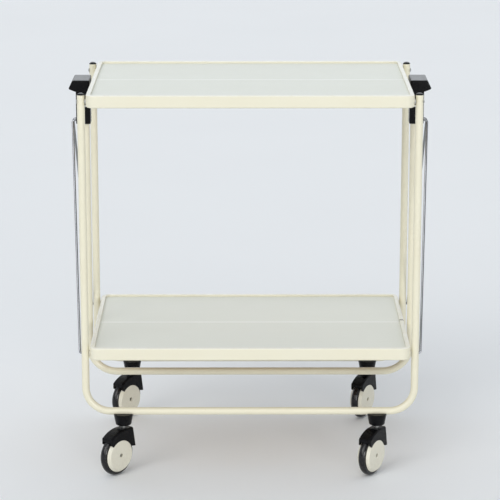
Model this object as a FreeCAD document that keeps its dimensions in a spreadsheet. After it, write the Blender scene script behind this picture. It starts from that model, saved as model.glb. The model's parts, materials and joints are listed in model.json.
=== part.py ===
import FreeCAD, Part
import math
import os
import re

import Sketcher

# A folding serving trolley: three bent tube frames, two trays that fold along
# their centre line, four stay rods, two lifting handles and four casters.
# Origin on the floor under the centre, +X to the right, -Y to the front, +Z up.

# Driving sizes in millimetres, angles in degrees
SIZES = {
    # bent tube frames
    "tube_diameter": 13.5,
    "tube_wall": 1.2,
    "leg_gap": 2.25,
    "frame_bend_radius": 44.0,
    "leg_top_drop": 2.4,
    "lift_leg_inset": 9.25,
    "lift_bar_rise": 24.0,
    "lift_bend_radius": 50.0,
    "lift_leg_seat": 56.2,
    "cap_rise": 4.0,
    "cap_lip": 0.8,
    "cap_plug_length": 7.0,
    # trays
    "tray_length": 570.0,
    "tray_depth": 376.0,
    "tray_corner_radius": 16.0,
    "upper_tray_top": 691.0,
    "lower_tray_top": 236.8,
    "rim_height": 22.4,
    "rim_width": 8.0,
    "rim_round": 3.0,
    "rim_end_bevel": 1.6,
    "ledge_width": 6.0,
    "panel_recess": 4.0,
    "panel_thickness": 4.0,
    "panel_clearance": 0.1,
    "centre_strip": 1.3,
    "fold_gap": 0.4,
    "fold_limit": 72.0,
    "relief_margin": 2.0,
    "pivot_drop": 14.0,
    "pivot_inset": 22.5,
    # centre hinges of the trays
    "hinge_length": 60.0,
    "hinge_spacing": 300.0,
    "knuckle_diameter": 6.0,
    "knuckle_gap": 0.3,
    "leaf_width": 20.0,
    "leaf_thickness": 1.2,
    "hinge_pin_diameter": 3.0,
    # pivot pins of the upper tray
    "pivot_pin_diameter": 5.0,
    "pivot_pin_depth": 11.0,
    "pivot_head_diameter": 8.6,
    "pivot_head_height": 2.0,
    "pivot_collar_diameter": 9.0,
    "pivot_collar_gap": 0.3,
    # lifting handles
    "handle_gap": 3.0,
    "grip_top_width": 30.0,
    "grip_reach": 38.0,
    "grip_tip_drop": 16.0,
    "grip_height": 20.8,
    "grip_length": 64.0,
    "grip_round": 2.6,
    "block_width": 26.0,
    "block_depth": 25.0,
    "block_drop": 83.2,
    "block_round": 2.0,
    "handle_pin_diameter": 4.0,
    "handle_pin_rise": 33.2,
    # stay rods
    "stay_diameter": 4.2,
    "stay_top_rise": 6.7,
    "stay_top_spacing": 14.0,
    "stay_top_offset": 6.5,
    "stay_foot_offset": 2.6,
    "stay_top_bend": 4.4,
    "stay_foot_bend": 3.2,
    "stay_peg_depth": 7.0,
    "stay_pin_depth": 11.0,
    "stay_stand_off": 0.3,
    # casters
    "caster_inset": 66.5,
    "front_left_heading": 49.0,
    "front_right_heading": 57.0,
    "rear_left_heading": 52.0,
    "rear_right_heading": 59.5,
    "socket_top_diameter": 35.7,
    "socket_foot_diameter": 28.6,
    "socket_height": 18.3,
    "socket_saddle": 3.0,
    "socket_round": 3.0,
    "stem_diameter": 8.0,
    "stem_reach": 8.0,
    "stem_seat": 9.0,
    "stem_show": 5.15,
    "stem_collar_diameter": 9.0,
    "stem_collar_gap": 0.3,
    "wheel_diameter": 75.0,
    "wheel_trail": 19.0,
    "tyre_width": 13.0,
    "tyre_depth": 7.5,
    "tread_radius": 8.0,
    "hub_width": 12.4,
    "axle_diameter": 5.0,
    "axle_overhang": 1.0,
    "cover_diameter": 62.0,
    "cover_wall": 1.6,
    "cover_flank": 3.8,
    "cover_edge": 0.8,
    "cover_boss_diameter": 16.0,
    "cover_notch_gap": 0.3,
    "cover_round": 0.6,
    "cover_eye_diameter": 7.0,
    "cheek_gap": 0.5,
    "cheek_thickness": 1.4,
    "cheek_width": 22.0,
    "hood_width": 25.0,
    "hood_plate": 2.2,
    "hood_rise": 8.8,
    "hood_arc_radius": 56.0,
    "hood_crown": 9.0,
    "hood_tail_drop": 12.8,
    "hood_tail_foot_drop": 22.3,
    "hood_nose_drop": 36.8,
    "hood_tooth_reach": 36.5,
    "hood_tooth_drop": 27.8,
    "hood_nose_top": 13.5,
    "hood_nose_foot": 19.6,
    "hood_clearance": 0.5,
    "hood_root": 1.0,
    "hood_round": 3.6,
    "arch_gap": 0.4,
    # fits
    "pin_clearance": 0.05,
    "bore_end_gap": 0.5,
    "cut_overrun": 1.0,
}

doc = FreeCAD.newDocument("ServingTrolley")
sizes = doc.addObject("Spreadsheet::Sheet", "Sizes")
for row, (alias, number) in enumerate(SIZES.items(), start=1):
    sizes.set(f"A{row}", alias)
    sizes.set(f"B{row}", str(number))
    sizes.setAlias(f"B{row}", alias)
doc.recompute()

# Places that several pieces share, written as formulas of the driving sizes
TUBE_R = "tube_diameter / 2"
HOOD_TOP = "(wheel_diameter + hood_rise)"
BAR_HEIGHT = f"({HOOD_TOP} + stem_show + socket_height + {TUBE_R})"
LIFT_BAR_HEIGHT = f"({BAR_HEIGHT} + lift_bar_rise)"
LEG_TOP = "(upper_tray_top - leg_top_drop)"
TRAY_END = "tray_length / 2"
LEG_X = f"({TRAY_END} + leg_gap + {TUBE_R})"
LEG_Y = "(tray_depth / 2 - pivot_inset)"
LEG_INNER = f"({LEG_X} - {TUBE_R})"
LEG_OUTER = f"({LEG_X} + {TUBE_R})"
UPPER_PIVOT = "(upper_tray_top - pivot_drop)"
LOWER_PIVOT = "(lower_tray_top - pivot_drop)"
PANEL_DEPTH = "(panel_recess + panel_thickness)"
HANDLE_INNER = f"({TRAY_END} + handle_gap)"
BLOCK_OUTER = f"({HANDLE_INNER} + block_width)"
LIFT_X = f"({HANDLE_INNER} + lift_leg_inset)"
GRIP_FOOT = "(upper_tray_top - grip_height)"
BLOCK_FOOT = "(upper_tray_top - block_drop)"
LIFT_TOP = f"({BLOCK_FOOT} + lift_leg_seat)"
HANDLE_PIN = f"({BLOCK_FOOT} + handle_pin_rise)"
STAY_TOP = f"({BLOCK_FOOT} + stay_top_rise)"
STAY_TOP_X = f"({BLOCK_OUTER} + stay_top_offset)"
STAY_FOOT_X = f"({LEG_OUTER} + stay_foot_offset)"
STAY_REACH = f"({LEG_Y} - stay_top_spacing / 2)"
STAY_RISE = f"({STAY_TOP} - {LOWER_PIVOT})"
CASTER_X = f"({LEG_X} - caster_inset)"
SOCKET_FOOT = f"({BAR_HEIGHT} - {TUBE_R} - socket_height)"
WHEEL_R = "wheel_diameter / 2"
HUB_R = f"({WHEEL_R} - tyre_depth)"
CHEEK_INNER = "(tyre_width / 2 + cheek_gap)"
CHEEK_OUTER = f"({CHEEK_INNER} + cheek_thickness)"
CAVITY_R = f"({WHEEL_R} + hood_clearance)"
HOOD_TAIL = f"({HOOD_TOP} - hood_tail_drop)"
HOOD_TAIL_FOOT = f"({HOOD_TOP} - hood_tail_foot_drop)"
HOOD_TOOTH = f"({HOOD_TOP} - hood_tooth_drop)"
HOOD_NOSE = f"({HOOD_TOP} - hood_nose_drop)"
COVER_FACE = "(hood_width / 2)"
COVER_R = "(cover_diameter / 2)"
COVER_EDGE = f"({CHEEK_INNER} + cover_edge)"

nodes = []


# Formulas and document helpers
def bound(formula):
    """The formula with each size written as a cell of the sheet."""
    return re.sub(
        r"[A-Za-z_]\w*",
        lambda word: f"Sizes.{word.group()}" if word.group() in SIZES else word.group(),
        formula,
    )


def value(formula):
    """The formula's present value."""
    number = sizes.evalExpression(formula)
    return float(getattr(number, "Value", number))


def drive(thing, **formulas):
    """Bind properties of an object to formulas of the sheet."""
    for name, formula in formulas.items():
        thing.setExpression(name, bound(formula))


def place(thing, x="0", y="0", z="0"):
    """Bind an object's position to three formulas."""
    for axis, formula in zip("xyz", (x, y, z)):
        thing.setExpression(f"Placement.Base.{axis}", bound(formula))
    return thing


def node(thing, label):
    """Keep an object as a finished piece under the name of its file."""
    thing.Label = label
    nodes.append(thing)
    return thing


def box(name, x, y, z):
    """A box between a low and a high formula on each axis."""
    thing = doc.addObject("Part::Box", name)
    for side, (low, high) in zip(("Length", "Width", "Height"), (x, y, z)):
        drive(thing, **{side: f"({high}) - ({low})"})
    return place(thing, x[0], y[0], z[0])


TURNS = {
    "x": FreeCAD.Rotation(FreeCAD.Vector(0, 1, 0), 90),
    "y": FreeCAD.Rotation(FreeCAD.Vector(1, 0, 0), -90),
    "z": FreeCAD.Rotation(),
}


def cylinder(name, axis, centre, span, radius):
    """A cylinder along an axis; centre holds the two other coordinates in order."""
    thing = doc.addObject("Part::Cylinder", name)
    thing.Placement = FreeCAD.Placement(FreeCAD.Vector(), TURNS[axis])
    drive(thing, Radius=radius, Height=f"({span[1]}) - ({span[0]})")
    at = list(centre)
    at.insert("xyz".index(axis), span[0])
    return place(thing, *at)


def compound(name, *parts):
    thing = doc.addObject("Part::Compound", name)
    thing.Links = list(parts)
    return thing


def fuse(name, *parts):
    thing = doc.addObject("Part::MultiFuse", name)
    thing.Shapes = list(parts)
    return thing


def cut(name, base, *tools):
    thing = doc.addObject("Part::Cut", name)
    thing.Base = base
    thing.Tool = tools[0] if len(tools) == 1 else compound(f"{name}_tools", *tools)
    return thing


def mirror(name, source, normal):
    thing = doc.addObject("Part::Mirroring", name)
    thing.Source = source
    thing.Normal = normal
    return thing


ACROSS = (1, 0, 0)
DEPTHWISE = (0, 1, 0)


def pair(name, source, normal=ACROSS):
    """A piece and its mirror image, as one group."""
    return compound(name, source, mirror(f"{name}_mirrored", source, normal))


# Sketches, whose every corner is tied to the sheet
def sketch_on(owner, role, name, **offsets):
    """A sketch on one of the body's origin planes, moved by formulas."""
    sketch = owner.newObject("Sketcher::SketchObject", name)
    plane = next(f for f in owner.Origin.OriginFeatures if f.Role == role)
    sketch.AttachmentSupport = [(plane, "")]
    sketch.MapMode = "FlatFace"
    for axis, formula in offsets.items():
        sketch.setExpression(f"AttachmentOffset.Base.{axis}", bound(formula))
    return sketch


def tie(sketch, kind, formula, *where):
    """A dimension bound to a formula."""
    number = sketch.addConstraint(Sketcher.Constraint(kind, *where, value(formula)))
    sketch.setExpression(f"Constraints[{number}]", bound(formula))


def bend_edge(start, end, radius):
    """The shorter arc from start to end with its centre on the left."""
    chord = end - start
    half = chord.Length / 2
    left = FreeCAD.Vector(-chord.y, chord.x, 0).normalize()
    centre = start + chord / 2 + left * math.sqrt(max(radius**2 - half**2, 0))
    circle = Part.Circle(centre, FreeCAD.Vector(0, 0, 1), radius)
    first = math.atan2(start.y - centre.y, start.x - centre.x)
    last = math.atan2(end.y - centre.y, end.x - centre.x)
    return Part.ArcOfCircle(circle, first, last)


def draw(sketch, corners, closed=True):
    """Lines through the corners; a corner with a third formula is reached by an arc.

    Arcs turn to the left, so an outline with arcs is drawn anticlockwise.
    """
    points = [FreeCAD.Vector(value(c[0]), value(c[1]), 0) for c in corners]
    count = len(corners)
    edges = []
    for i in range(count if closed else count - 1):
        j = (i + 1) % count
        if len(corners[j]) == 3:
            edge = bend_edge(points[i], points[j], value(corners[j][2]))
        else:
            edge = Part.LineSegment(points[i], points[j])
        edges.append(sketch.addGeometry(edge))
    for i, edge in enumerate(edges):
        j = (i + 1) % count
        if i + 1 < len(edges) or closed:
            following = edges[(i + 1) % len(edges)]
            sketch.addConstraint(Sketcher.Constraint("Coincident", edge, 2, following, 1))
        if len(corners[j]) == 3:
            tie(sketch, "Radius", corners[j][2], edge)
        tie(sketch, "DistanceX", corners[i][0], -1, 1, edge, 1)
        tie(sketch, "DistanceY", corners[i][1], -1, 1, edge, 1)
    if not closed:
        tie(sketch, "DistanceX", corners[-1][0], -1, 1, edges[-1], 2)
        tie(sketch, "DistanceY", corners[-1][1], -1, 1, edges[-1], 2)


def rings(sketch, *radii):
    """Circles about the sketch's origin."""
    for radius in radii:
        circle = Part.Circle(FreeCAD.Vector(), FreeCAD.Vector(0, 0, 1), value(radius))
        edge = sketch.addGeometry(circle)
        sketch.addConstraint(Sketcher.Constraint("Coincident", edge, 3, -1, 1))
        tie(sketch, "Radius", radius, edge)


def new_body(name):
    return doc.addObject("PartDesign::Body", name)


def padded(name, role, corners, length, **offsets):
    """A body padded from an outline, evenly to both sides of its plane."""
    owner = new_body(name)
    sketch = sketch_on(owner, role, f"{name}_outline", **offsets)
    draw(sketch, corners)
    pad = owner.newObject("PartDesign::Pad", f"{name}_pad")
    pad.Profile = sketch
    pad.SideType = "Symmetric"
    drive(pad, Length=length)
    return owner


def turned(name, corners):
    """A body turned about the Z axis from an outline of radius and height."""
    owner = new_body(name)
    sketch = sketch_on(owner, "XZ_Plane", f"{name}_outline")
    draw(sketch, corners)
    turn = owner.newObject("PartDesign::Revolution", f"{name}_turn")
    turn.Profile = sketch
    turn.ReferenceAxis = (sketch, ["V_Axis"])
    return owner


def rounded(owner, radius, wanted):
    """Round the edges of the body's last feature whose middle the rule accepts."""
    doc.recompute()
    base = owner.Tip
    names = [
        f"Edge{i}"
        for i, edge in enumerate(base.Shape.Edges, start=1)
        if wanted(edge, edge.valueAt((edge.FirstParameter + edge.LastParameter) / 2))
    ]
    fillet = owner.newObject("PartDesign::Fillet", f"{owner.Name}_round")
    fillet.Base = (base, names)
    drive(fillet, Radius=radius)
    return owner


def near(number, formula):
    """Whether a coordinate lies on the place that a formula gives."""
    return abs(number - value(formula)) < value("pin_clearance")


def piped(name, path, role, start, *radii):
    """A body swept along a path in the XZ plane from rings at its start."""
    owner = new_body(name)
    spine = sketch_on(owner, "XZ_Plane", f"{name}_path")
    draw(spine, path, closed=False)
    section = sketch_on(owner, role, f"{name}_section", **start)
    rings(section, *radii)
    doc.recompute()
    pipe = owner.newObject("PartDesign::AdditivePipe", f"{name}_pipe")
    pipe.Profile = section
    pipe.Spine = (spine, [])
    return owner


# Tube frames
def tube_frame(name, half_width, bar, bend, top, y):
    """A U of bent tube standing on its bar, at depth y."""
    path = [
        (f"-({half_width})", top),
        (f"-({half_width})", f"{bar} + {bend}"),
        (f"{bend} - {half_width}", bar, bend),
        (f"{half_width} - {bend}", bar),
        (half_width, f"{bar} + {bend}", bend),
        (half_width, top),
    ]
    start = {"x": f"-({half_width})", "z": top}
    owner = piped(name, path, "XY_Plane", start, TUBE_R, f"{TUBE_R} - tube_wall")
    return place(owner, y=y)


def standing_frame(side, y):
    """The front or rear frame, bored for the tray pivots and the caster stems."""
    tube = tube_frame(f"{side}_tube", LEG_X, BAR_HEIGHT, "frame_bend_radius", LEG_TOP, y)
    through = (f"-{LEG_OUTER} - cut_overrun", f"{LEG_OUTER} + cut_overrun")
    stem_hole = cylinder(
        f"{side}_stem_hole",
        "z",
        (CASTER_X, y),
        (f"{BAR_HEIGHT} - tube_diameter", BAR_HEIGHT),
        "stem_diameter / 2 + pin_clearance",
    )
    tools = [
        cylinder(
            f"{side}_upper_hole",
            "x",
            (y, UPPER_PIVOT),
            through,
            "pivot_pin_diameter / 2 + pin_clearance",
        ),
        cylinder(
            f"{side}_lower_hole",
            "x",
            (y, LOWER_PIVOT),
            through,
            "stay_diameter / 2 + pin_clearance",
        ),
        pair(f"{side}_stem_holes", stem_hole),
    ]
    node(cut(f"{side}_frame", tube, *tools), f"{side}_frame_tube")


def lift_frame():
    """The middle frame that the handles lift."""
    tube = tube_frame(
        "lift_tube", LIFT_X, LIFT_BAR_HEIGHT, "lift_bend_radius", LIFT_TOP, "0"
    )
    hole = cylinder(
        "lift_pin_hole",
        "y",
        (LIFT_X, HANDLE_PIN),
        ("-tube_diameter", "tube_diameter"),
        "handle_pin_diameter / 2 + pin_clearance",
    )
    node(cut("lift_frame", tube, pair("lift_pin_holes", hole)), "lift_frame_tube")


def tube_caps(side, y):
    """Two domed caps plugged into the leg tops."""
    bore = f"{TUBE_R} - tube_wall"
    dome = "(cap_rise - cap_lip)"
    profile = [
        ("0", "-cap_plug_length"),
        (bore, "-cap_plug_length"),
        (bore, "0"),
        (TUBE_R, "0"),
        (TUBE_R, "cap_lip"),
        ("0", "cap_rise", f"(({TUBE_R})^2 + {dome}^2) / (2 * {dome})"),
    ]
    cap = place(turned(f"{side}_cap", profile), LEG_X, y, LEG_TOP)
    node(pair(f"{side}_cap_pair", cap), f"{side}_tube_caps")


def pivot_pins(side, y):
    """Two shouldered rivets on which a half of the upper tray turns."""
    pin = "pivot_pin_diameter / 2"
    collar = "pivot_collar_diameter / 2"
    tip = f"{TRAY_END} - pivot_pin_depth"
    dome = f"((pivot_head_diameter / 2)^2 + pivot_head_height^2) / (2 * pivot_head_height)"
    profile = [
        ("0", tip),
        (pin, tip),
        (pin, f"{TRAY_END} + pivot_collar_gap"),
        (collar, f"{TRAY_END} + pivot_collar_gap"),
        (collar, LEG_INNER),
        (pin, LEG_INNER),
        (pin, LEG_OUTER),
        ("pivot_head_diameter / 2", LEG_OUTER),
        ("0", f"{LEG_OUTER} + pivot_head_height", dome),
    ]
    rivet = turned(f"{side}_rivet", profile)
    rivet.Placement = FreeCAD.Placement(FreeCAD.Vector(), TURNS["x"])
    place(rivet, "0", y, UPPER_PIVOT)
    node(pair(f"{side}_rivet_pair", rivet), f"{side}_upper_pivot_pins")


# Trays
def half_outline(inset, centre, radius):
    """The front half of a tray in plan, drawn in from the outer edge."""
    x = f"({TRAY_END} - {inset})"
    y = f"(tray_depth / 2 - {inset})"
    return [
        (f"-{x}", f"-({centre})"),
        (f"-{x}", f"{radius} - {y}"),
        (f"{radius} - {x}", f"-{y}", radius),
        (f"{x} - {radius}", f"-{y}"),
        (x, f"{radius} - {y}", radius),
        (x, f"-({centre})"),
    ]


def pocketed(owner, name, corners, top, **depth):
    """Cut an outline down into a body, to a depth or right through."""
    sketch = sketch_on(owner, "XY_Plane", f"{name}_outline", z=top)
    draw(sketch, corners)
    pocket = owner.newObject("PartDesign::Pocket", name)
    pocket.Profile = sketch
    if depth:
        drive(pocket, **depth)
    else:
        pocket.Type = "ThroughAll"


def tray_rim(name, top, bore_radius):
    """The rim of a front half: three raised sides, a ledge and a thin centre strip."""
    owner = new_body(name)
    strip = "fold_gap / 2 + centre_strip"
    sketch = sketch_on(owner, "XY_Plane", f"{name}_outline", z=f"{top} - rim_height")
    draw(sketch, half_outline("0", "fold_gap / 2", "tray_corner_radius"))
    pad = owner.newObject("PartDesign::Pad", f"{name}_pad")
    pad.Profile = sketch
    drive(pad, Length="rim_height")
    rounded(
        owner,
        "rim_round",
        lambda edge, middle: (near(middle.z, top) or near(middle.z, f"{top} - rim_height"))
        and not near(middle.y, "-fold_gap / 2"),
    )
    inner = half_outline("rim_width", strip, "(tray_corner_radius - rim_width)")
    pocketed(owner, f"{name}_pocket", inner, top, Length=PANEL_DEPTH)
    ledge = "(rim_width + ledge_width)"
    opening = half_outline(ledge, strip, f"(tray_corner_radius - {ledge})")
    pocketed(owner, f"{name}_opening", opening, top)
    ahead = "cut_overrun"
    clear_x = f"({TRAY_END} - {ledge})"
    inner_x = f"({TRAY_END} - rim_width)"
    tools = [
        box(
            f"{name}_strip_trim",
            (f"-{inner_x}", inner_x),
            (f"-({strip})", ahead),
            (f"{top} - panel_recess", f"{top} + {ahead}"),
        ),
        box(
            f"{name}_hinge_room",
            (f"-{clear_x}", clear_x),
            ("-knuckle_diameter", ahead),
            (f"{top} - rim_height - {ahead}", f"{top} - {PANEL_DEPTH}"),
        ),
        fold_relief(f"{name}_relief", top),
        end_bevel(f"{name}_bevel", top),
    ]
    bore = cylinder(
        f"{name}_bore",
        "x",
        (f"-({LEG_Y})", f"{top} - pivot_drop"),
        (f"{TRAY_END} - pivot_pin_depth - bore_end_gap", f"{TRAY_END} + {ahead}"),
        bore_radius,
    )
    tools.append(pair(f"{name}_bores", bore))
    return cut(f"{name}_cut", owner, *tools)


def hinge_height(top):
    """The centre hinge's axis, one knuckle radius under the panel."""
    return f"({top} - {PANEL_DEPTH} - knuckle_diameter / 2)"


def fold_relief(name, top):
    """The sloped space under the hinge axis that lets the side rims fold together."""
    axis = hinge_height(top)
    drop = f"({axis} - {top} + rim_height + cut_overrun)"
    run = f"({drop} * tan(fold_limit + relief_margin))"
    corners = [
        ("0", axis),
        (f"-{run}", f"{axis} - {drop}"),
        ("cut_overrun", f"{axis} - {drop}"),
        ("cut_overrun", axis),
    ]
    return padded(name, "YZ_Plane", corners, "tray_length + 2 * cut_overrun")


def end_bevel(name, top):
    """A square bar on edge that bevels the rims where the halves meet."""
    thing = doc.addObject("Part::Box", name)
    thing.Placement = FreeCAD.Placement(
        FreeCAD.Vector(), FreeCAD.Rotation(FreeCAD.Vector(1, 0, 0), 45)
    )
    side = "rim_end_bevel * sqrt(2)"
    drive(thing, Length="tray_length", Width=side, Height=side)
    return place(thing, f"-{TRAY_END}", "0", f"{top} - rim_end_bevel")


def tray_panel(name, top):
    """The laminate panel that lies on the ledge of a front half."""
    owner = new_body(name)
    inset = "(rim_width + panel_clearance)"
    centre = "fold_gap / 2 + centre_strip + panel_clearance"
    sketch = sketch_on(owner, "XY_Plane", f"{name}_outline", z=f"{top} - {PANEL_DEPTH}")
    draw(sketch, half_outline(inset, centre, f"(tray_corner_radius - {inset})"))
    pad = owner.newObject("PartDesign::Pad", f"{name}_pad")
    pad.Profile = sketch
    drive(pad, Length="panel_thickness")
    return owner


def hinge_leaf(name, top, side, knuckles):
    """One leaf: a plate under the panel with its share of the three knuckles.

    side is -1 for the front leaf and 1 for the rear one.
    """
    axis = hinge_height(top)
    centre = "hinge_spacing / 2"
    level = (f"{axis} + knuckle_diameter / 2 - leaf_thickness", f"{axis} + knuckle_diameter / 2")
    edge = "(knuckle_diameter / 2 + knuckle_gap)"
    depth = (edge, "leaf_width") if side > 0 else ("-leaf_width", f"-{edge}")
    tongue = ("0", edge) if side > 0 else (f"-{edge}", "0")
    low, high = f"{centre} - hinge_length / 2", f"{centre} + hinge_length / 2"
    parts = [box(f"{name}_plate", (low, high), depth, level)]
    for i in knuckles:
        span = (
            f"{low} + {i} * hinge_length / 3 + knuckle_gap / 2",
            f"{low} + {i + 1} * hinge_length / 3 - knuckle_gap / 2",
        )
        parts.append(box(f"{name}_tongue_{i}", span, tongue, level))
        parts.append(cylinder(f"{name}_knuckle_{i}", "x", ("0", axis), span, "knuckle_diameter / 2"))
    bore = cylinder(
        f"{name}_bore",
        "x",
        ("0", axis),
        (f"{low} - cut_overrun", f"{high} + cut_overrun"),
        "hinge_pin_diameter / 2 + pin_clearance",
    )
    return pair(f"{name}_pair", cut(f"{name}_bored", fuse(f"{name}_whole", *parts), bore))


def tray(level, top, bore_radius):
    """Both halves of a tray with their panels and centre hinges."""
    rim = tray_rim(f"{level}_rim", top, bore_radius)
    panel = tray_panel(f"{level}_panel", top)
    node(rim, f"{level}_front_rim")
    node(panel, f"{level}_front_panel")
    node(mirror(f"{level}_rim_rear", rim, DEPTHWISE), f"{level}_rear_rim")
    node(mirror(f"{level}_panel_rear", panel, DEPTHWISE), f"{level}_rear_panel")
    node(hinge_leaf(f"{level}_leaf_f", top, -1, (0, 2)), f"{level}_front_hinge_leaves")
    node(hinge_leaf(f"{level}_leaf_r", top, 1, (1,)), f"{level}_rear_hinge_leaves")
    half = "hinge_length / 2"
    span = (f"hinge_spacing / 2 - {half}", f"hinge_spacing / 2 + {half}")
    pin = cylinder(
        f"{level}_pin", "x", ("0", hinge_height(top)), span, "hinge_pin_diameter / 2"
    )
    node(pair(f"{level}_pins", pin), f"{level}_hinge_pins")


# Lifting handles
def handles():
    """A grip on a block at each end, pinned onto the lift frame's leg."""
    section = [
        (HANDLE_INNER, GRIP_FOOT),
        (BLOCK_OUTER, GRIP_FOOT),
        (f"{HANDLE_INNER} + grip_reach", "upper_tray_top - grip_tip_drop"),
        (f"{HANDLE_INNER} + grip_top_width", "upper_tray_top"),
        (HANDLE_INNER, "upper_tray_top"),
    ]
    grip = padded("grip", "XZ_Plane", section, "grip_length")
    rounded(grip, "grip_round", lambda edge, middle: True)
    block_top = "upper_tray_top - grip_height / 2"
    block_section = [
        (HANDLE_INNER, BLOCK_FOOT),
        (BLOCK_OUTER, BLOCK_FOOT),
        (BLOCK_OUTER, block_top),
        (HANDLE_INNER, block_top),
    ]
    block = padded("block", "XZ_Plane", block_section, "block_depth")
    rounded(block, "block_round", lambda edge, middle: not near(middle.z, block_top))
    tools = [
        cylinder(
            "leg_seat",
            "z",
            (LIFT_X, "0"),
            (f"{BLOCK_FOOT} - cut_overrun", LIFT_TOP),
            f"{TUBE_R} + pin_clearance",
        ),
        cylinder(
            "handle_pin_hole",
            "y",
            (LIFT_X, HANDLE_PIN),
            ("-block_depth", "block_depth"),
            "handle_pin_diameter / 2 + pin_clearance",
        ),
    ]
    peg_hole = cylinder(
        "peg_hole",
        "x",
        ("stay_top_spacing / 2", STAY_TOP),
        (f"{BLOCK_OUTER} - stay_peg_depth - bore_end_gap", f"{BLOCK_OUTER} + cut_overrun"),
        "stay_diameter / 2 + pin_clearance",
    )
    tools.append(pair("peg_holes", peg_hole, DEPTHWISE))
    right = cut("handle", fuse("handle_whole", grip, block), *tools)
    node(right, "right_handle")
    node(mirror("handle_left", right, ACROSS), "left_handle")
    half = "block_depth / 2"
    pin = cylinder(
        "handle_pin",
        "y",
        (LIFT_X, HANDLE_PIN),
        (f"-{half}", half),
        "handle_pin_diameter / 2",
    )
    node(pair("handle_pins", pin), "handle_cross_pins")


# Stay rods
def stay(name, side, peg_end):
    """A rod bent inward at both ends, leaning from a leg to the handle block.

    side is -1 for the front rod and 1 for the rear one; peg_end is the X of its top end.
    """
    lean = f"({STAY_TOP_X} - {STAY_FOOT_X})"
    rise = f"sqrt({STAY_REACH}^2 + {STAY_RISE}^2)"
    rod = f"sqrt({lean}^2 + {STAY_REACH}^2 + {STAY_RISE}^2)"
    foot = f"(stay_foot_bend * sqrt(({rod} - {lean}) / ({rod} + {lean})))"
    head = f"(stay_top_bend * sqrt(({rod} + {lean}) / ({rod} - {lean})))"
    inner_end = f"{TRAY_END} - stay_pin_depth - {STAY_FOOT_X}"
    path = [
        (inner_end, "0"),
        (f"-{foot}", "0"),
        (f"{foot} * {lean} / {rod}", f"{foot} * {rise} / {rod}", "stay_foot_bend"),
        (f"{lean} - {head} * {lean} / {rod}", f"{rise} - {head} * {rise} / {rod}"),
        (f"{lean} - {head}", rise, "stay_top_bend"),
        (f"{peg_end} - {STAY_FOOT_X}", rise),
    ]
    owner = piped(name, path, "YZ_Plane", {"z": inner_end}, "stay_diameter / 2")
    owner.Placement = FreeCAD.Placement(
        FreeCAD.Vector(), FreeCAD.Rotation(FreeCAD.Vector(side, 0, 0), value("fold_limit"))
    )
    owner.setExpression("Placement.Rotation.Angle", bound(f"atan({STAY_REACH} / {STAY_RISE})"))
    y = LEG_Y if side > 0 else f"-({LEG_Y})"
    return place(owner, STAY_FOOT_X, y, LOWER_PIVOT)


def stays():
    for name, side, peg_end in (
        ("front", -1, f"({BLOCK_OUTER} + stay_stand_off)"),
        ("rear", 1, f"({BLOCK_OUTER} - stay_peg_depth)"),
    ):
        right = node(stay(f"{name}_stay", side, peg_end), f"right_{name}_stay")
        node(mirror(f"{name}_stay_left", right, ACROSS), f"left_{name}_stay")


# Caster pieces, made once about the stem axis with the wheel trailing along -X
def socket():
    """The tapered cup that seats against the underside of the bar."""
    bore = "stem_diameter / 2 + pin_clearance"
    foot = "socket_foot_diameter / 2"
    top = f"{BAR_HEIGHT} - {TUBE_R} + socket_saddle"
    profile = [
        (bore, SOCKET_FOOT),
        (f"{foot} - socket_round", SOCKET_FOOT),
        (foot, f"{SOCKET_FOOT} + socket_round", "socket_round"),
        ("socket_top_diameter / 2", top),
        (bore, top),
    ]
    cup = turned("socket_cup", profile)
    reach = "socket_top_diameter"
    saddle = cylinder(
        "saddle",
        "x",
        ("0", BAR_HEIGHT),
        (f"-{reach}", reach),
        f"{TUBE_R} + pin_clearance",
    )
    return cut("socket", cup, saddle)


def stem():
    """The steel stem with the collar that bears under the cup."""
    pin = "stem_diameter / 2"
    collar = "stem_collar_diameter / 2"
    collar_top = f"{SOCKET_FOOT} - stem_collar_gap"
    top = f"{BAR_HEIGHT} - {TUBE_R} + stem_reach"
    profile = [
        ("0", f"{HOOD_TOP} - stem_seat"),
        (pin, f"{HOOD_TOP} - stem_seat"),
        (pin, HOOD_TOP),
        (collar, HOOD_TOP),
        (collar, collar_top),
        (pin, collar_top),
        (pin, top),
        ("0", top),
    ]
    return turned("stem", profile)


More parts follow.
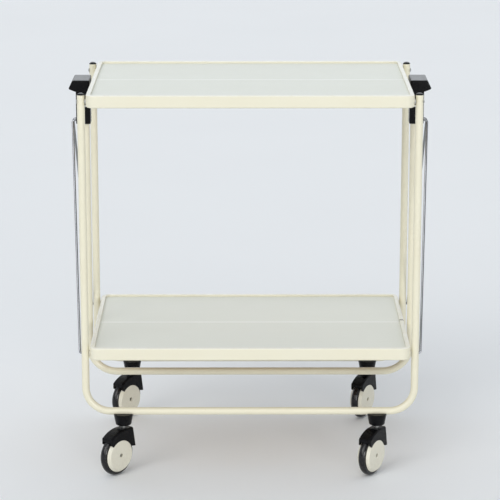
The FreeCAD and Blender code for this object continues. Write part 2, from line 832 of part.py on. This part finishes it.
def hood():
    """The fender with its side plates, wheel arch and the two cheeks of the fork."""
    tail = "-hood_crown - sqrt(hood_arc_radius^2 - (hood_arc_radius - hood_tail_drop)^2)"
    outline = [
        ("-hood_tooth_reach", HOOD_TOOTH),
        ("hood_nose_foot", HOOD_NOSE),
        ("hood_nose_top", HOOD_TOP),
        ("-hood_crown", HOOD_TOP),
        (tail, HOOD_TAIL, "hood_arc_radius"),
        (tail, HOOD_TAIL_FOOT),
    ]
    shell = padded("hood_shell", "XZ_Plane", outline, "hood_width")
    rounded(
        shell,
        "hood_round",
        lambda edge, middle: (
            near(abs(middle.y), "hood_width / 2") and middle.z > value(HOOD_TAIL_FOOT)
        )
        or (near(middle.x, "hood_nose_top") and near(middle.z, HOOD_TOP))
        or (near(middle.x, tail) and near(middle.z, HOOD_TAIL)),
    )
    axle = ("-wheel_trail", WHEEL_R)
    plate = "(hood_width / 2 - hood_plate)"
    wide = "hood_width"
    cavity = cylinder("hood_cavity", "y", axle, (f"-{plate}", plate), CAVITY_R)
    arch_profile = [
        ("0", "0"),
        (f"{COVER_R} + arch_gap", "0"),
        (f"{COVER_R} + arch_gap", COVER_EDGE),
        (f"{COVER_R} - cover_flank + arch_gap", COVER_FACE),
        (f"{COVER_R} - cover_flank + arch_gap", wide),
        ("0", wide),
    ]
    arches = pair("hood_arches", on_axle(turned("hood_arch", arch_profile)), DEPTHWISE)
    hollow = cut("hood_hollow", shell, cavity, arches)
    side = (CHEEK_INNER, CHEEK_OUTER)
    strap = box("cheek_strap", strap_span("0"), side, (WHEEL_R, f"{WHEEL_R} + {CAVITY_R} + hood_root"))
    boss = cylinder("cheek_boss", "y", axle, side, "cheek_width / 2")
    cheeks = pair("cheeks", fuse("cheek", strap, boss), DEPTHWISE)
    axle_hole = cylinder(
        "axle_hole", "y", axle, (f"-{wide}", wide), "axle_diameter / 2 + pin_clearance"
    )
    stem_hole = cylinder(
        "stem_seat_hole",
        "z",
        ("0", "0"),
        (f"{HOOD_TOP} - stem_seat", f"{HOOD_TOP} + cut_overrun"),
        "stem_diameter / 2 + pin_clearance",
    )
    return cut("hood", fuse("hood_whole", hollow, cheeks), axle_hole, stem_hole)


def strap_span(gap):
    """From the back edge to the front edge of a cheek, widened by a gap."""
    half = f"(cheek_width / 2 + {gap})"
    return (f"-wheel_trail - {half}", f"{half} - wheel_trail")


def on_axle(thing):
    """Lay a piece turned about Z onto the wheel's axle."""
    thing.Placement = FreeCAD.Placement(FreeCAD.Vector(), TURNS["y"])
    return place(thing, "-wheel_trail", "0", WHEEL_R)


def tyre():
    """The rubber tyre with its rounded tread."""
    half = "tyre_width / 2"
    shoulder = f"{WHEEL_R} - tread_radius + sqrt(tread_radius^2 - ({half})^2)"
    profile = [
        (HUB_R, f"-{half}"),
        (shoulder, f"-{half}"),
        (shoulder, half, "tread_radius"),
        (HUB_R, half),
    ]
    return on_axle(turned("tyre", profile))


def hub():
    """The wheel's core, which runs on the axle."""
    half = "hub_width / 2"
    bore = "axle_diameter / 2 + pin_clearance"
    profile = [(bore, f"-{half}"), (HUB_R, f"-{half}"), (HUB_R, half), (bore, half)]
    return on_axle(turned("hub", profile))


def covers():
    """Two dished covers with a sloped flank, notched over the cheeks that carry them."""
    eye = "cover_eye_diameter / 2"
    boss = "cover_boss_diameter / 2"
    inside = f"({COVER_FACE} - cover_wall)"
    profile = [
        (eye, CHEEK_OUTER),
        (boss, CHEEK_OUTER),
        (boss, inside),
        (f"{COVER_R} - cover_flank - cover_edge", inside),
        (f"{COVER_R} - cover_wall", CHEEK_INNER),
        (COVER_R, CHEEK_INNER),
        (COVER_R, COVER_EDGE),
        (f"{COVER_R} - cover_flank", COVER_FACE),
        (eye, COVER_FACE),
    ]
    cover = turned("cover", profile)
    rounded(
        cover,
        "cover_round",
        lambda edge, middle: near(middle.z, COVER_FACE) or near(middle.z, COVER_EDGE),
    )
    reach = f"({CHEEK_OUTER} + cover_notch_gap)"
    notch = box(
        "cover_notch",
        strap_span("cover_notch_gap"),
        (f"-{reach}", reach),
        (f"{WHEEL_R} + cover_boss_diameter", f"{WHEEL_R} + cover_diameter"),
    )
    return cut("cover_pair", pair("cover_discs", on_axle(cover), DEPTHWISE), notch)


def axle():
    """The axle held in both cheeks."""
    end = f"({CHEEK_OUTER} + axle_overhang)"
    span = (f"-{end}", end)
    return cylinder("axle", "y", ("-wheel_trail", WHEEL_R), span, "axle_diameter / 2")


def casters():
    """Four casters, each swivelled to its heading under its frame's bar."""
    turning = {
        "stem": stem(),
        "hood": hood(),
        "covers": covers(),
        "axle": axle(),
        "hub": hub(),
        "tyre": tyre(),
    }
    cup = socket()
    for depth, y in (("front", f"-({LEG_Y})"), ("rear", LEG_Y)):
        for side, x in (("left", f"-{CASTER_X}"), ("right", CASTER_X)):
            name = f"{depth}_{side}_caster"
            fixed = compound(f"{name}_socket_at", cup)
            node(place(fixed, x, y), f"{name}_socket")
            for piece, master in turning.items():
                thing = compound(f"{name}_{piece}_at", master)
                thing.Placement = FreeCAD.Placement(
                    FreeCAD.Vector(), FreeCAD.Rotation(FreeCAD.Vector(0, 0, 1), 1)
                )
                thing.setExpression("Placement.Rotation.Angle", bound(f"{depth}_{side}_heading"))
                node(place(thing, x, y), f"{name}_{piece}")


# The whole trolley
for side, y in (("front", f"-({LEG_Y})"), ("rear", LEG_Y)):
    standing_frame(side, y)
    tube_caps(side, y)
    pivot_pins(side, y)
lift_frame()
tray("upper", "upper_tray_top", "pivot_pin_diameter / 2 + pin_clearance")
tray("lower", "lower_tray_top", "stay_diameter / 2 + pin_clearance")
handles()
stays()
casters()
doc.recompute()

# Every object and every piece must be sound before anything is written
for thing in doc.Objects:
    if "Invalid" in thing.State or "Error" in thing.State:
        raise RuntimeError(f"{thing.Name} failed: {thing.State}")
for thing in nodes:
    if thing.Shape.isNull() or not thing.Shape.isValid() or not thing.Shape.Solids:
        raise RuntimeError(f"{thing.Label} has no valid solid")

os.makedirs("parts", exist_ok=True)
for thing in nodes:
    solids = thing.Shape.Solids
    shape = solids[0] if len(solids) == 1 else thing.Shape
    shape.exportStep(os.path.join("parts", f"{thing.Label}.step"))
print(f"{len(nodes)} pieces written")
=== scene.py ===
# Looks of a folding serving trolley: cream tube frames, two hinged trays with
# laminate panels, chrome stay rods, black lifting handles and swivel casters.
# Every place is in metres in the frame of the solids: +X right, -Y front, +Z up.
import json
import math

import bmesh
import bpy
from mathutils import Matrix, Vector


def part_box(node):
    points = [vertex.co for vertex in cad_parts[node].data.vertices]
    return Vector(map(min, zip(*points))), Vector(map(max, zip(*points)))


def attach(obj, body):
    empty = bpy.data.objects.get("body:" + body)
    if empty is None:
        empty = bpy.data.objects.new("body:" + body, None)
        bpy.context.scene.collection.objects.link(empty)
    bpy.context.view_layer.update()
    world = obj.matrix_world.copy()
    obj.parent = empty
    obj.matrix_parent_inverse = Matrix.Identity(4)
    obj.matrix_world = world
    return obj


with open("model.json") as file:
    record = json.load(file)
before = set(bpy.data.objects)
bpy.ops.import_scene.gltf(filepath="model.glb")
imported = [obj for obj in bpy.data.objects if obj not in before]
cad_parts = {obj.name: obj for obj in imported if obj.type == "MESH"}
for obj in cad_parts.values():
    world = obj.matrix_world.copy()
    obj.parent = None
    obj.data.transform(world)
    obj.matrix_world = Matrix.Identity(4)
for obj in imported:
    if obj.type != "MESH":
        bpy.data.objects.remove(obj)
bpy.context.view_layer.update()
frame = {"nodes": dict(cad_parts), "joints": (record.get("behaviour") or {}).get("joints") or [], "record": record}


# Shader sums written as plain expressions
class Wire:
    """A socket of some nodes; sums and products of wires add Math nodes."""

    def __init__(self, nodes, socket):
        self.nodes = nodes
        self.socket = socket

    def maths(self, operation, first, second):
        """A Math node on two values or wires."""
        return self.nodes.add("ShaderNodeMath", {"operation": operation}, {0: first, 1: second})

    def __add__(self, other):
        return self.maths("ADD", self, other)

    def __radd__(self, other):
        return self.maths("ADD", other, self)

    def __mul__(self, other):
        return self.maths("MULTIPLY", self, other)

    def __rmul__(self, other):
        return self.maths("MULTIPLY", other, self)


class Nodes:
    """The nodes of one material or world."""

    def __init__(self, tree):
        self.tree = tree
        self.tree.nodes.clear()

    def add(self, kind, settings, sockets, output=0):
        """Add a node: its settings first, then the values or wires of its sockets."""
        made = self.tree.nodes.new(kind)
        for name, setting in settings.items():
            if name == "stops":
                self.set_stops(made.color_ramp.elements, setting)
            else:
                setattr(made, name, setting)
        for name, fed in sockets.items():
            self.feed(made.inputs[name], fed)
        return Wire(self, made.outputs[output]) if made.outputs else None

    def set_stops(self, elements, stops):
        """Give a colour ramp its (place, shade) stops."""
        while len(elements) < len(stops):
            elements.new(1.0)
        for element, (place, shade) in zip(elements, stops):
            element.position = place
            element.color = (shade, shade, shade, 1.0)

    def feed(self, socket, fed):
        """Link a wire to a socket, or set the socket's own value."""
        if isinstance(fed, Wire):
            self.tree.links.new(fed.socket, socket)
        else:
            socket.default_value = fed


class Finish(Nodes):
    """A material in the making: one principled shader and the nodes that feed it."""

    def __init__(self, name, **constants):
        self.material = bpy.data.materials.new(name)
        self.material.use_nodes = True
        super().__init__(self.material.node_tree)
        surface = self.add("ShaderNodeBsdfPrincipled", {}, {}, "BSDF")
        self.add("ShaderNodeOutputMaterial", {}, {"Surface": surface})
        self.shader = surface.socket.node
        self.drive(**constants)

    def drive(self, **sockets):
        """Feed sockets of the shader; an underscore stands for a space."""
        for name, fed in sockets.items():
            self.feed(self.shader.inputs[name.replace("_", " ")], fed)

    def place(self, stretch=(1.0, 1.0, 1.0)):
        """Object coordinates, stretched along the axes."""
        coordinates = self.add("ShaderNodeTexCoord", {}, {}, "Object")
        return self.add("ShaderNodeMapping", {}, {"Vector": coordinates, "Scale": stretch})

    def noise(self, scale, detail=2.0, roughness=0.5, stretch=(1.0, 1.0, 1.0)):
        """Cloudy noise from 0 to 1, so many grains to the metre."""
        sockets = {
            "Vector": self.place(stretch),
            "Scale": scale,
            "Detail": detail,
            "Roughness": roughness,
        }
        return self.add("ShaderNodeTexNoise", {}, sockets, "Fac")

    def cells(self, scale):
        """Distance to the nearest of many scattered points."""
        sockets = {"Vector": self.place(), "Scale": scale}
        return self.add("ShaderNodeTexVoronoi", {}, sockets, "Distance")

    def along(self, axis):
        """How far along X, Y or Z a point is."""
        return self.add("ShaderNodeSeparateXYZ", {}, {"Vector": self.place()}, axis)

    def facing_up(self):
        """1 where the surface faces up, 0 where it faces down, 0.5 on upright faces."""
        normal = self.add("ShaderNodeTexCoord", {}, {}, "Normal")
        return self.add("ShaderNodeSeparateXYZ", {}, {"Vector": normal}, "Z") * 0.5 + 0.5

    def band(self, wire, middle, half):
        """1 where a value lies within half of the middle, else 0."""
        return self.add("ShaderNodeMath", {"operation": "COMPARE"}, {0: wire, 1: middle, 2: half})

    def ramp(self, wire, *stops):
        """A value carried through (value, result) stops."""
        return self.add("ShaderNodeValToRGB", {"stops": stops}, {"Fac": wire})

    def mix(self, factor, first, second):
        """Blend two colours."""
        sockets = {"Factor": factor, 6: first, 7: second}
        return self.add("ShaderNodeMix", {"data_type": "RGBA"}, sockets, 2)

    def bump(self, wire, depth):
        """Raise the surface by so many metres where the wire is high."""
        sockets = {"Height": wire, "Distance": depth, "Strength": 1.0}
        self.drive(Normal=self.add("ShaderNodeBump", {}, sockets, "Normal"))


def tone(red, green, blue):
    """A screen colour of 0 to 255 as the linear colour that shaders use."""
    shares = [part / 255 for part in (red, green, blue)]
    linear = [s / 12.92 if s <= 0.04045 else ((s + 0.055) / 1.055) ** 2.4 for s in shares]
    return (*linear, 1.0)


# Finishes
# Half-widths of the painted highlight bands on the rim tops and along the fold, and the half-width and depth of
# the painted shade in the lower tray's fold slit
TOP_HIGHLIGHT_HALF = 0.0012
FOLD_HIGHLIGHT_HALF = 0.0045
SLIT_SHADE_HALF = 0.003
SLIT_SHADE_DEPTH = 0.004
# Heights in metres where the painted reflection on black tops starts and where it is full
SHEEN_FROM_HEIGHT = 0.5
SHEEN_FULL_HEIGHT = 0.6
DUST_FROM = 0.005
DUST_TO = 0.055


def cream_lacquer():
    """Sprayed lacquer on steel tube: faint flow marks and slight yellowing."""
    finish = Finish("cream_lacquer", Specular_IOR_Level=0.5, Coat_Roughness=0.12, Coat_Weight=0.25)
    clouds = finish.noise(scale=14, detail=3)
    specks = finish.ramp(finish.noise(scale=420), (0.70, 0.0), (0.78, 1.0))
    body = finish.mix(clouds, tone(229, 225, 203), tone(225, 219, 195))
    finish.drive(
        Base_Color=finish.mix(specks * 0.35, body, tone(198, 190, 166)),
        Roughness=0.26 + finish.noise(scale=60) * 0.14,
    )
    finish.bump(finish.noise(scale=900, detail=1), depth=0.00004)
    return finish.material


def cream_rim():
    """Smooth rim moulding, a little lighter than the tubes, with painted highlights along its tops and at the
    fold.

    The lower tray's right side has painted shade in the slit where its halves meet.
    """
    finish = Finish("cream_rim", Specular_IOR_Level=0.5, Coat_Roughness=0.2, Coat_Weight=0.3)
    clouds = finish.noise(scale=9, detail=3, roughness=0.6)
    drawn = finish.noise(scale=70, stretch=(0.06, 1.0, 1.0))
    body = finish.mix(clouds, tone(228, 225, 206), tone(225, 220, 197))
    level = finish.along("Z")
    tops = [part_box(f"{tray}_front_rim")[1][2] for tray in ("upper", "lower")]
    # Painted highlight: a pale band along the tops of both trays' rims, broken into patches by noise
    top_highlight_mask = finish.band(level, tops[0], TOP_HIGHLIGHT_HALF) + finish.band(level, tops[1], TOP_HIGHLIGHT_HALF)
    panel_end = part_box("upper_front_panel")[1][0]
    between_sides = finish.band(finish.along("X"), 0.0, panel_end)
    # Painted highlight: a near-white band on the rims along the fold
    fold_highlight_mask = finish.band(finish.along("Y"), 0.0, FOLD_HIGHLIGHT_HALF) * between_sides
    rim_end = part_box("lower_front_rim")[1][0]
    at_right_end = finish.band(finish.along("X"), rim_end, rim_end - panel_end)
    near_lower_top = finish.band(level, tops[1], SLIT_SHADE_DEPTH)
    # Painted shade: a dark mark for the shaded slit at the fold on the lower tray's right side rim
    slit_shade = finish.band(finish.along("Y"), 0.0, SLIT_SHADE_HALF) * near_lower_top * at_right_end
    highlight_breakup = finish.noise(scale=75, detail=4, roughness=0.65)
    patchy = top_highlight_mask * finish.ramp(highlight_breakup, (0.3, 0.55), (0.6, 1.0))
    drawn_body = finish.mix(drawn * 0.16, body, tone(216, 209, 185))
    # The painted top highlight is mixed in here
    with_top_highlight = finish.mix(patchy * 0.8, drawn_body, tone(240, 240, 233))
    # The painted fold highlight is mixed in here
    with_fold_highlight = finish.mix(fold_highlight_mask, with_top_highlight, tone(254, 254, 252))
    # The painted slit shade goes on over everything else
    finish.drive(
        Base_Color=finish.mix(slit_shade * 0.85, with_fold_highlight, tone(66, 63, 58)),
        Roughness=0.3 + finish.noise(scale=120) * 0.16,
    )
    finish.bump(finish.noise(scale=1400, detail=1), depth=0.00002)
    return finish.material


def laminate():
    """Pale grey-white laminate, finely flecked and rubbed by use, on bare fibreboard below."""
    finish = Finish("laminate", Specular_IOR_Level=0.3)
    clouds = finish.noise(scale=5, detail=4, roughness=0.55)
    fleck = finish.ramp(finish.noise(scale=1100, roughness=0.7), (0.36, 0.0), (0.64, 1.0))
    strokes = finish.noise(scale=60, detail=3, roughness=0.6, stretch=(0.12, 1.0, 1.0))
    patchy = finish.ramp(strokes, (0.56, 0.0), (0.72, 1.0))
    body = finish.mix(clouds, tone(229, 232, 224), tone(225, 228, 219))
    flecked = finish.mix(fleck * 0.4, body, tone(217, 218, 207))
    top = finish.mix(patchy * 0.14, flecked, tone(238, 238, 230))
    fibres = finish.noise(scale=340, detail=4, roughness=0.7, stretch=(0.35, 1.0, 1.0))
    board = finish.mix(fibres, tone(150, 118, 84), tone(186, 156, 118))
    under = finish.ramp(finish.facing_up(), (0.2, 1.0), (0.3, 0.0))
    finish.drive(
        Base_Color=finish.mix(under, top, board),
        Roughness=0.34 + finish.noise(scale=26, detail=3) * 0.14 + patchy * 0.08 + under * 0.3,
    )
    finish.bump(fleck, depth=0.00002)
    return finish.material


def black_plastic():
    """Moulded black plastic, finely grained and rubbed, with a painted grey reflection on the up-facing tops of
    the handles and tube caps.
    """
    finish = Finish("black_plastic", Specular_IOR_Level=0.14)
    grain = finish.cells(scale=1500)
    patchy = finish.ramp(finish.noise(scale=55, detail=3, roughness=0.6), (0.45, 0.0), (0.75, 1.0))
    # Painted reflection: up-facing black surfaces high up are painted light grey and made a touch rougher
    high_up = finish.ramp(finish.along("Z"), (SHEEN_FROM_HEIGHT, 0.0), (SHEEN_FULL_HEIGHT, 1.0))
    painted_sheen = finish.ramp(finish.facing_up(), (0.88, 0.0), (1.0, 1.0)) * high_up
    body = finish.mix(patchy * 0.5, tone(9, 9, 11), tone(18, 18, 21))
    # The painted reflection on the tops is mixed in here
    finish.drive(
        Base_Color=finish.mix(painted_sheen * 0.8, body, tone(138, 140, 142)),
        Roughness=0.22 + patchy * 0.12 + grain * 0.08 + painted_sheen * 0.06,
    )
    finish.bump(grain, depth=0.00005)
    return finish.material


def chrome():
    """Bright plated wire with a slight haze."""
    finish = Finish("chrome", Metallic=1.0)
    haze = finish.noise(scale=90, detail=3, roughness=0.6)
    finish.drive(
        Base_Color=finish.mix(haze, tone(158, 160, 164), tone(134, 136, 140)),
        Roughness=0.09 + haze * 0.14,
    )
    finish.bump(finish.noise(scale=700, detail=1), depth=0.00001)
    return finish.material


def plated_steel():
    """Dull zinc plating on pins, hinges and screws."""
    finish = Finish("plated_steel", Metallic=1.0)
    patches = finish.noise(scale=130, detail=3, roughness=0.65)
    drawn = finish.noise(scale=500, stretch=(0.08, 1.0, 1.0))
    finish.drive(
        Base_Color=finish.mix(patches, tone(196, 197, 196), tone(166, 166, 162)),
        Roughness=0.28 + drawn * 0.24,
    )
    finish.bump(drawn, depth=0.00002)
    return finish.material


def eye_shade_steel():
    """Bare steel on the axles, painted dark for the shade inside the wheel-cover eyes, with a mottle."""
    finish = Finish("eye_shade_steel", Metallic=1.0)
    mottle = finish.noise(scale=380, detail=3, roughness=0.65)
    finish.drive(
        Base_Color=finish.mix(mottle, tone(58, 57, 55), tone(84, 82, 78)),
        Roughness=0.38 + mottle * 0.2,
    )
    finish.bump(mottle, depth=0.00002)
    return finish.material


def cream_cover():
    """Moulded wheel cover, a shade greyer than the frame, with floor dust low down."""
    finish = Finish("cream_cover", Specular_IOR_Level=0.5)
    clouds = finish.noise(scale=45, detail=3, roughness=0.6)
    low = finish.ramp(finish.along("Z"), (DUST_FROM, 1.0), (DUST_TO, 0.0))
    specks = finish.noise(scale=260, detail=4, roughness=0.7)
    dust = finish.ramp(specks, (0.45, 0.0), (0.75, 1.0)) * low
    body = finish.mix(clouds, tone(223, 220, 205), tone(217, 213, 196))
    finish.drive(
        Base_Color=finish.mix(dust * 0.4, body, tone(176, 168, 150)),
        Roughness=0.32 + clouds * 0.12 + dust * 0.2,
    )
    finish.bump(finish.noise(scale=1200, detail=1), depth=0.00002)
    return finish.material


def hub_plastic():
    """Dark moulded wheel core."""
    finish = Finish("hub_plastic", Specular_IOR_Level=0.45)
    patches = finish.noise(scale=160, detail=3, roughness=0.6)
    finish.drive(
        Base_Color=finish.mix(patches, tone(34, 34, 37), tone(52, 51, 51)),
        Roughness=0.42 + patches * 0.16,
    )
    finish.bump(finish.cells(scale=1800), depth=0.00004)
    return finish.material


def tyre_rubber():
    """Smooth rubber with scuffs from the floor."""
    finish = Finish("tyre_rubber", Specular_IOR_Level=0.45)
    patches = finish.noise(scale=240, detail=4, roughness=0.7)
    scuffs = finish.ramp(patches, (0.45, 0.0), (0.72, 1.0))
    finish.drive(
        Base_Color=finish.mix(scuffs * 0.55, tone(11, 11, 14), tone(40, 39, 39)),
        Roughness=0.16 + scuffs * 0.25,
    )
    finish.bump(finish.noise(scale=1600), depth=0.00004)
    return finish.material


def floor_paint():
    """Plain pale studio floor."""
    finish = Finish("floor_paint", Specular_IOR_Level=0.2, Roughness=0.75)
    clouds = finish.noise(scale=1.5, detail=3)
    finish.drive(Base_Color=finish.mix(clouds, tone(238, 240, 242), tone(235, 237, 239)))
    return finish.material


FINISHES = {
    "cream_lacquer": cream_lacquer(),
    "cream_rim": cream_rim(),
    "laminate": laminate(),
    "black_plastic": black_plastic(),
    "chrome": chrome(),
    "steel": plated_steel(),
    "axle_steel": eye_shade_steel(),
    "cream_cover": cream_cover(),
    "hub_plastic": hub_plastic(),
    "tyre_rubber": tyre_rubber(),
}

for subpart in frame["record"]["subparts"]:
    mesh = frame["nodes"][subpart["node"]].data
    mesh.materials.clear()
    # The axles take the dark steel that is painted for the shade in the cover eyes
    look = "axle_steel" if subpart["node"].endswith("_axle") else subpart["material_slot"]
    mesh.materials.append(FINISHES[look])


# Small fittings that the solids leave out
MERGE_REACH = 0.00001


def spun(shaping, profile, steps):
    """Spin a line of (radius, height) points once about Z."""
    points = [shaping.verts.new((radius, 0.0, height)) for radius, height in profile]
    lines = [shaping.edges.new(ends) for ends in zip(points, points[1:])]
    bmesh.ops.spin(
        shaping,
        geom=points + lines,
        cent=(0.0, 0.0, 0.0),
        axis=(0.0, 0.0, 1.0),
        angle=math.tau,
        steps=steps,
        use_merge=True,
    )
    bmesh.ops.remove_doubles(shaping, verts=shaping.verts, dist=MERGE_REACH)
    bmesh.ops.recalc_face_normals(shaping, faces=shaping.faces)


def repeated(name, form, places, slot, body):
    """One piece of several copies of a form, each at its own place and turn."""
    mesh = bpy.data.meshes.new(name)
    gathering = bmesh.new()
    single = bpy.data.meshes.new(f"{name}_single")
    form.to_mesh(single)
    for place in places:
        start = len(gathering.verts)
        gathering.from_mesh(single)
        copied = gathering.verts[:][start:]
        bmesh.ops.transform(gathering, matrix=place, verts=copied)
    bmesh.ops.recalc_face_normals(gathering, faces=gathering.faces)
    gathering.to_mesh(mesh)
    gathering.free()
    bpy.data.meshes.remove(single)
    mesh.materials.append(FINISHES[slot])
    piece = bpy.data.objects.new(name, mesh)
    bpy.context.scene.collection.objects.link(piece)
    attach(piece, body)


SCREW_RADIUS = 0.0026
SCREW_RISE = 0.0013
SCREW_SIDES = 20
CROWN_TURNS = (30.0, 60.0)
SLOT_HALF = 0.00035
SLOT_DEPTH = 0.0008


def screw_head():
    """A slotted round head, its foot at the origin and its crown along +Z."""
    head = bmesh.new()
    crown = [(SCREW_RADIUS, 0.0)]
    for turn in map(math.radians, CROWN_TURNS):
        crown.append((SCREW_RADIUS * math.cos(turn), SCREW_RISE * math.sin(turn)))
    crown.append((0.0, SCREW_RISE))
    spun(head, crown, SCREW_SIDES)
    for side in (-SLOT_HALF, SLOT_HALF):
        bmesh.ops.bisect_plane(
            head,
            geom=head.verts[:] + head.edges[:] + head.faces[:],
            plane_co=(side, 0.0, 0.0),
            plane_no=(1.0, 0.0, 0.0),
        )
    floor_faces = [face for face in head.faces if abs(face.calc_center_median().x) < SLOT_HALF]
    sunk = bmesh.ops.extrude_face_region(head, geom=floor_faces)
    bmesh.ops.delete(head, geom=floor_faces, context="FACES_ONLY")
    low = [made for made in sunk["geom"] if isinstance(made, bmesh.types.BMVert)]
    bmesh.ops.translate(head, verts=low, vec=(0.0, 0.0, -SLOT_DEPTH))
    bmesh.ops.recalc_face_normals(head, faces=head.faces)
    return head


LEAF_THICKNESS = 0.0012
LEAF_LENGTH = 0.06
SCREW_PITCH = 0.02
SCREW_FROM_FOLD = 0.0135
TURN_PER_SCREW = 0.7
TURN_PER_METRE = 3.0
HEAD_DOWN = Matrix.Rotation(math.pi, 4, "X")
screw = screw_head()
for tray in ("upper", "lower"):
    for half, toward in (("front", -1.0), ("rear", 1.0)):
        leaves_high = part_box(f"{tray}_{half}_hinge_leaves")[1]
        hinge_x = leaves_high[0] - LEAF_LENGTH / 2
        under_leaf = leaves_high[2] - LEAF_THICKNESS
        places = []
        for middle in (-hinge_x, hinge_x):
            for step in (-1, 0, 1):
                spot = (middle + step * SCREW_PITCH, toward * SCREW_FROM_FOLD, under_leaf)
                turn = TURN_PER_SCREW * step + TURN_PER_METRE * middle + toward
                places.append(Matrix.Translation(spot) @ Matrix.Rotation(turn, 4, "Z") @ HEAD_DOWN)
        repeated(f"{tray}_{half}_hinge_screws", screw, places, "steel", f"{tray}_{half}_half")
screw.free()

WASHER_RADIUS = 0.0056
WASHER_BORE = 0.0024
WASHER_PLAY = 0.0002
WASHER_ROUND = 0.0003
WASHER_SIDES = 32
legs_low, legs_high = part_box("front_frame_tube")
tray_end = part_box("lower_front_rim")[1][0]
tube = legs_high[1] - legs_low[1]
leg_inner = legs_high[0] - tube
thickness = leg_inner - tray_end - 2 * WASHER_PLAY
outline = [
    (WASHER_BORE, 0.0),
    (WASHER_RADIUS - WASHER_ROUND, 0.0),
    (WASHER_RADIUS, WASHER_ROUND),
    (WASHER_RADIUS, thickness - WASHER_ROUND),
    (WASHER_RADIUS - WASHER_ROUND, thickness),
    (WASHER_BORE, thickness),
    (WASHER_BORE, 0.0),
]
washer = bmesh.new()
spun(washer, outline, WASHER_SIDES)
joint_places = {joint["name"]: joint["pos_m"] for joint in frame["joints"]}
pin_height = joint_places["lower_rear_pivot"][2]
for side in ("front", "rear"):
    low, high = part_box(f"{side}_frame_tube")
    middle = (low[1] + high[1]) / 2
    places = []
    for hand in (-1.0, 1.0):
        spot = (hand * (tray_end + WASHER_PLAY), middle, pin_height)
        places.append(Matrix.Translation(spot) @ Matrix.Rotation(hand * math.pi / 2, 4, "Y"))
    repeated(f"{side}_lower_washers", washer, places, "cream_cover", f"{side}_frame")
washer.free()

# Stage, light and camera
FLOOR_SPAN = 60.0
floor_mesh = bpy.data.meshes.new("floor")
shaping = bmesh.new()
bmesh.ops.create_grid(shaping, x_segments=2, y_segments=2, size=FLOOR_SPAN / 2)
shaping.to_mesh(floor_mesh)
shaping.free()
floor_mesh.materials.append(floor_paint())
floor = bpy.data.objects.new("floor", floor_mesh)
bpy.context.scene.collection.objects.link(floor)

# A bright wall of light behind the trolley that fades towards the camera's side
WALL_LIGHT = 0.69
WALL_LIGHT_SLOPE = 0.6
world = bpy.data.worlds.new("studio")
world.use_nodes = True
sky = Nodes(world.node_tree)
ray = sky.add("ShaderNodeTexCoord", {}, {}, "Generated")
away = sky.add("ShaderNodeSeparateXYZ", {}, {"Vector": ray}, "Y")
strength = away * WALL_LIGHT_SLOPE + WALL_LIGHT
glow = sky.add("ShaderNodeBackground", {}, {"Color": tone(238, 242, 246), "Strength": strength})
sky.add("ShaderNodeOutputWorld", {}, {"Surface": glow})
bpy.context.scene.world = world


def soft_light(name, place, spread, strength, colour=(1.0, 1.0, 1.0)):
    """An even light that shines from a place towards the origin, so many degrees wide."""
    lamp = bpy.data.lights.new(name, "SUN")
    lamp.energy = strength
    lamp.angle = math.radians(spread)
    lamp.color = colour
    light = bpy.data.objects.new(name, lamp)
    light.location = place
    light.rotation_mode = "QUATERNION"
    light.rotation_quaternion = Vector(place).to_track_quat("Z", "Y")
    bpy.context.scene.collection.objects.link(light)


# Even lights, so that the floor stays the same shade all the way back
WARM_WHITE = (1.0, 0.985, 0.96)
soft_light("window_light", place=(-2.2, -2.6, 2.2), spread=31.0, strength=0.42, colour=WARM_WHITE)
soft_light("fill_light", place=(1.5, -3.4, 0.35), spread=21.0, strength=0.98)
soft_light("ceiling_light", place=(-0.242, -0.804, 0.543), spread=56.0, strength=1.2)

SENSOR = 36.0
FOCAL_SHARE = 4.56
PITCH = 14.0
YAW = -0.142
EYE = (-0.01, -4.066, 1.384)
camera = bpy.data.objects.new("camera", bpy.data.cameras.new("camera"))
camera.data.sensor_width = SENSOR
camera.data.lens = SENSOR * FOCAL_SHARE
camera.location = EYE
camera.rotation_euler = (math.radians(90.0 - PITCH), 0.0, math.radians(YAW))
bpy.context.scene.collection.objects.link(camera)
bpy.context.scene.camera = camera
bpy.context.scene.view_settings.view_transform = "Standard"
